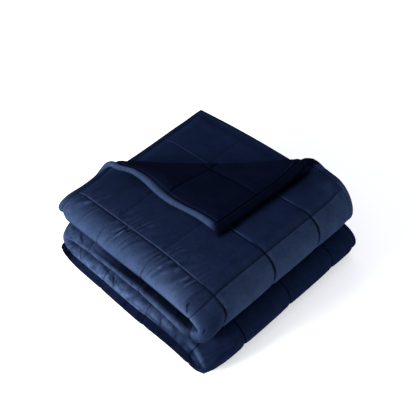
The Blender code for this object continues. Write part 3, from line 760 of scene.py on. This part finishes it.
# The nap: blotches and short strokes. On the doubled edge of the lower bands it is crushed into stronger
# ones, and the shadows are a little uneven with it.
blotches = add("TexNoise", {"Vector": cloth, "Scale": BLOTCHES, "Detail": 3.0, "Roughness": 0.6})
strokes = add("TexNoise", {"Vector": cloth, "Scale": STROKES, "Detail": 2.0, "Distortion": 0.6})
nap = summed(0.0, ((blotches, BLOTCH_SHARE, 0.0), (strokes, STROKE_SHARE, 0.0)))
shaded = add("Math", (shadow, add("MapRange", (patches, *MOTTLED))), operation="MULTIPLY")
shaded = add("Math", (shaded, MOST_SHADED), operation="MINIMUM")
open_to_light = add("Math", (1.0, shaded), operation="SUBTRACT")
off = add("Math", (add("Math", (u, MIDDLE), operation="SUBTRACT"),), operation="ABSOLUTE")
crushed = add("MapRange", (off, 0.0, CRUSHED_REACH, 1.0, 0.0), **SOFT)
lower = add("Math", (v, CRUSHED_FROM), operation="GREATER_THAN")
leaning = add("Math", (patches, 0.5), operation="SUBTRACT")
for share in (leaning, CRUSHED_SHADE, lower, open_to_light):
    crushed = add("Math", (crushed, share), operation="MULTIPLY")
crushed = add("Math", (1.0, crushed), operation="ADD")
dimmed = add("Math", (1.0, darkening), operation="SUBTRACT")
for share in (add("MapRange", (nap, *NAP_SHADE)), open_to_light, crushed):
    dimmed = add("Math", (dimmed, share), operation="MULTIPLY")

# How much paler the marks make it, in the same way, as painted highlights on the lit seams, the crests
# and the raised ridge, and how high they stand, in metres.
paler = summed(tone, ((u_line, 0.0, 0.24), (crests, 0.0, 0.26), (raised, 0.38, 0.0)))
pile = add("ValToRGB", (paler,))
ramp = pile.node.color_ramp
in_shade, face_on, turned_away_and_lit = (colour(hexes) for hexes in PILE_COLOURS)
ramp.elements[0].color, ramp.elements[1].color = in_shade, turned_away_and_lit
ramp.elements.new(FACE_ON).color = face_on
pile = add("VectorMath", {0: pile, "Scale": dimmed}, operation="SCALE")
relief = summed(0.0, (
    (nap, 0.0007, 0.0), (stitched, -0.0012, 0.0010), (valleys, -0.0012, 0.0), (pressed, -0.0020, 0.0),
))
bump = add("Bump", {"Height": relief, "Distance": 1.0, "Strength": 1.0})
velvet.node_tree.links.new(pile, shader.inputs["Base Color"])
velvet.node_tree.links.new(bump, shader.inputs["Normal"])
for name, value in (
    ("Roughness", 0.9), ("Specular IOR Level", 0.0), ("Sheen Weight", 0.015),
    ("Sheen Roughness", 0.45), ("Sheen Tint", colour("#6f86bb")),
):
    shader.inputs[name].default_value = value
mesh.materials.append(velvet)

# ---------------------------------------------------------------------------------------------------
# The studio: a pale floor under a pale sky, one soft key light from the left, and the camera.
# ---------------------------------------------------------------------------------------------------
FLOOR_SIZE = 8.0
TARGET = Vector((0.0057, 0.0022, 0.081))  # the middle of the pile
KEY_PLACE = (-16, 18, 2.2)  # azimuth, elevation and distance
KEY_SIZE, KEY_POWER, KEY_TINT = 1.0, 95.0, (1.0, 0.985, 0.94)
SKY_TINT, SKY_STRENGTH = (0.95, 0.99, 1.07, 1.0), 0.65
CAMERA_PLACE = (43.8, 44.0, 1.335)  # the same
LENS, SENSOR, SHIFT = 60.6, 36.0, (0.0017, 0.0421)


def aimed(thing, azimuth, elevation, distance):
    """Puts a camera or a light round the target, facing it. Azimuth 0 looks along +Y."""
    a, e = radians(azimuth), radians(elevation)
    offset = distance * Vector((sin(a) * cos(e), -cos(a) * cos(e), sin(e)))
    facing = offset.to_track_quat("Z", "Y").to_matrix().to_4x4()
    thing.matrix_world = Matrix.Translation(TARGET + offset) @ facing
    bpy.context.scene.collection.objects.link(thing)
    return thing


# Matte white paper: it takes the blanket's shadow softly, and glows a little, so it stays near white.
paper = bpy.data.materials.new("matte_white_paper")
paper.use_nodes = True
for name, value in (
    ("Base Color", colour("#f6f6f6")), ("Roughness", 0.9),
    ("Emission Color", (1.0, 1.0, 1.0, 1.0)), ("Emission Strength", 0.45),
):
    paper.node_tree.nodes["Principled BSDF"].inputs[name].default_value = value
half = FLOOR_SIZE / 2
floor_mesh = bpy.data.meshes.new("floor")
floor_mesh.from_pydata(
    [(x * half, y * half, 0.0) for x, y in ((-1, -1), (1, -1), (1, 1), (-1, 1))], [], [(0, 1, 2, 3)]
)
floor_mesh.materials.append(paper)
floor = bpy.data.objects.new("floor", floor_mesh)
bpy.context.scene.collection.objects.link(floor)

sky = bpy.data.worlds.new("studio")
sky.use_nodes = True
sky.node_tree.nodes["Background"].inputs["Color"].default_value = SKY_TINT
sky.node_tree.nodes["Background"].inputs["Strength"].default_value = SKY_STRENGTH
bpy.context.scene.world = sky

lamp = bpy.data.lights.new("key", "AREA")
lamp.shape = "DISK"
lamp.size = KEY_SIZE
lamp.energy = KEY_POWER
lamp.color = KEY_TINT
aimed(bpy.data.objects.new("key", lamp), *KEY_PLACE)

view = bpy.data.cameras.new("camera")
view.lens = LENS
view.sensor_width = SENSOR
view.shift_x, view.shift_y = SHIFT
bpy.context.scene.camera = aimed(bpy.data.objects.new("camera", view), *CAMERA_PLACE)
bpy.context.scene.view_settings.view_transform = "Standard"
